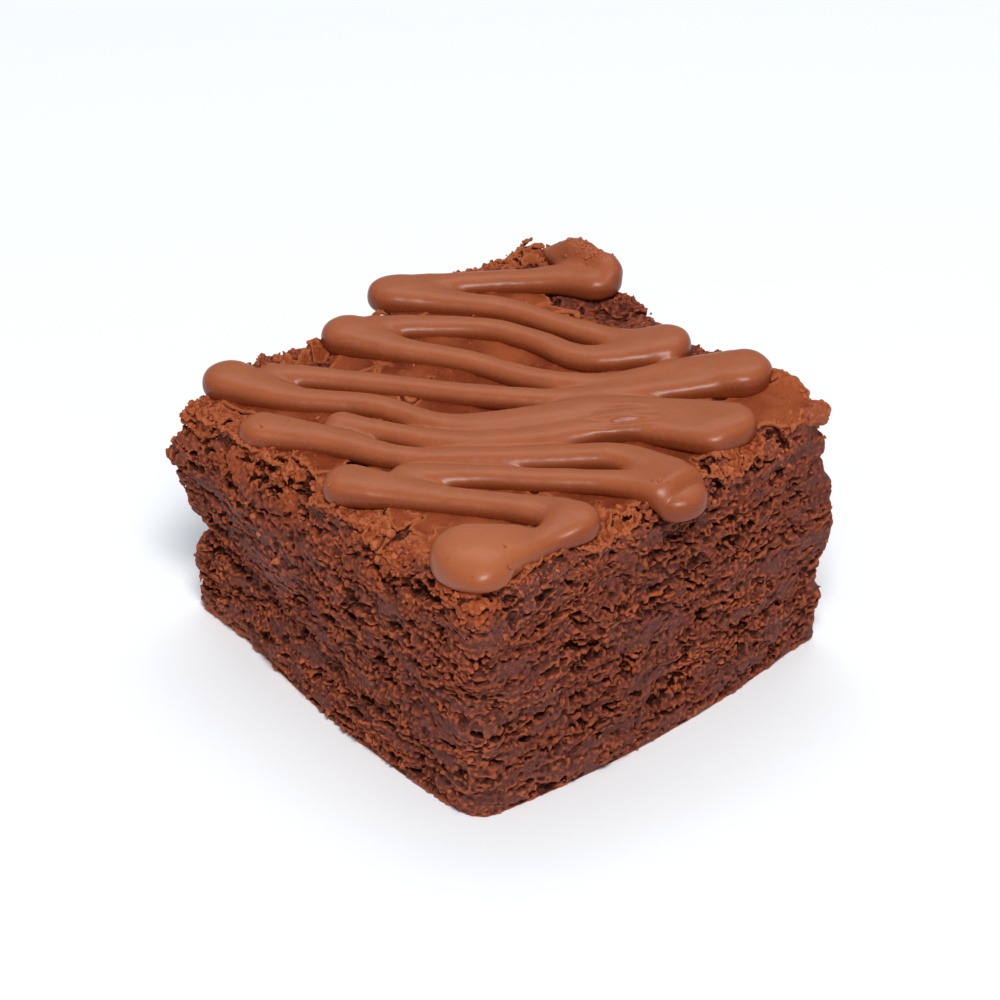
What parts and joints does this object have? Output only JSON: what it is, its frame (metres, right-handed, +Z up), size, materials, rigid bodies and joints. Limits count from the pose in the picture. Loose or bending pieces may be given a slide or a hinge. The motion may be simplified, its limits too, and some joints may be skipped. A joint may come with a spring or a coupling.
{
  "type": "chocolate brownie",
  "caption": "Thick square chocolate brownie with craggy cut sides, a thin cracked crust and a zigzag of milk chocolate.",
  "frame": {"origin": "middle of the box on the surface that the brownie rests on", "axes": "+Z up through the crust; +X and -Y are the two cut sides that the picture shows; the zigzag starts at the -X +Y corner and ends over the +X -Y corner"},
  "size_m": [0.0738, 0.0692, 0.0434],
  "materials": {
    "crumb": "matte, moist in places",
    "crust": "matte",
    "milk_chocolate": "satin"
  },
  "bodies": {
    "root": {"brownie": "crumb"}
  },
  "joints": []
}
